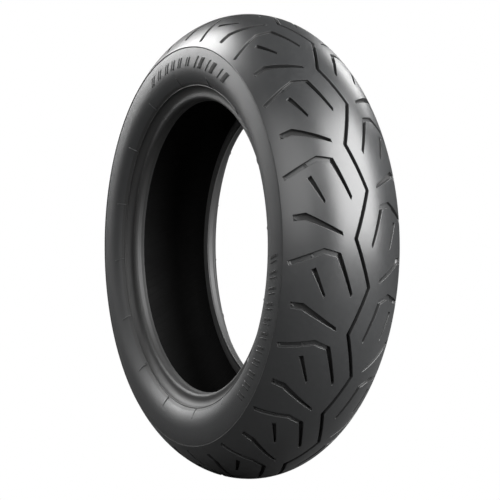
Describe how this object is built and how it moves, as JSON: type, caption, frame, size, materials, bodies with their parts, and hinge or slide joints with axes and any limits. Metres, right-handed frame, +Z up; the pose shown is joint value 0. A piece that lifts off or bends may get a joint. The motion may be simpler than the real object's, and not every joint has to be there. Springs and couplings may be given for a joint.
{
  "type": "motorcycle tire",
  "caption": "Wide rear motorcycle tire, unmounted, with a round crown, a zigzag centre groove and mirrored bent side grooves.",
  "frame": {"origin": "centre of the tire, on its spin axis midway between the sidewalls", "axes": "+Y along the spin axis towards the right sidewall, +Z up as the tire stands, +X forward"},
  "size_m": [0.6444, 0.176, 0.6443],
  "materials": {
    "tread_rubber": "satin dark grey rubber",
    "sidewall_rubber": "satin black rubber",
    "rim_rubber": "smooth black rubber",
    "base_rubber": "matte black rubber",
    "gum_rubber": "matte brown-black rubber",
    "liner_rubber": "smooth black butyl",
    "filler_rubber": "hard black rubber",
    "belt_cord": "rubbered cord",
    "ply_cord": "rubbered cord",
    "chafer_fabric": "rubbered square weave",
    "wrap_fabric": "rubbered tape",
    "bead_wire": "bronze-coated steel wire"
  },
  "bodies": {
    "root": {"tread_cap": "tread_rubber", "tread_base": "base_rubber", "belt_ply_outer": "belt_cord", "belt_ply_inner": "belt_cord", "carcass_ply_outer": "ply_cord", "carcass_ply_inner": "ply_cord", "inner_liner": "liner_rubber", "belt_edge_strip_left": "gum_rubber", "sidewall_left": "sidewall_rubber", "rim_strip_left": "rim_rubber", "chafer_left": "chafer_fabric", "bead_filler_left": "filler_rubber", "bead_wrap_left": "wrap_fabric", "bead_core_left": "bead_wire", "belt_edge_strip_right": "gum_rubber", "sidewall_right": "sidewall_rubber", "rim_strip_right": "rim_rubber", "chafer_right": "chafer_fabric", "bead_filler_right": "filler_rubber", "bead_wrap_right": "wrap_fabric", "bead_core_right": "bead_wire"}
  },
  "joints": []
}
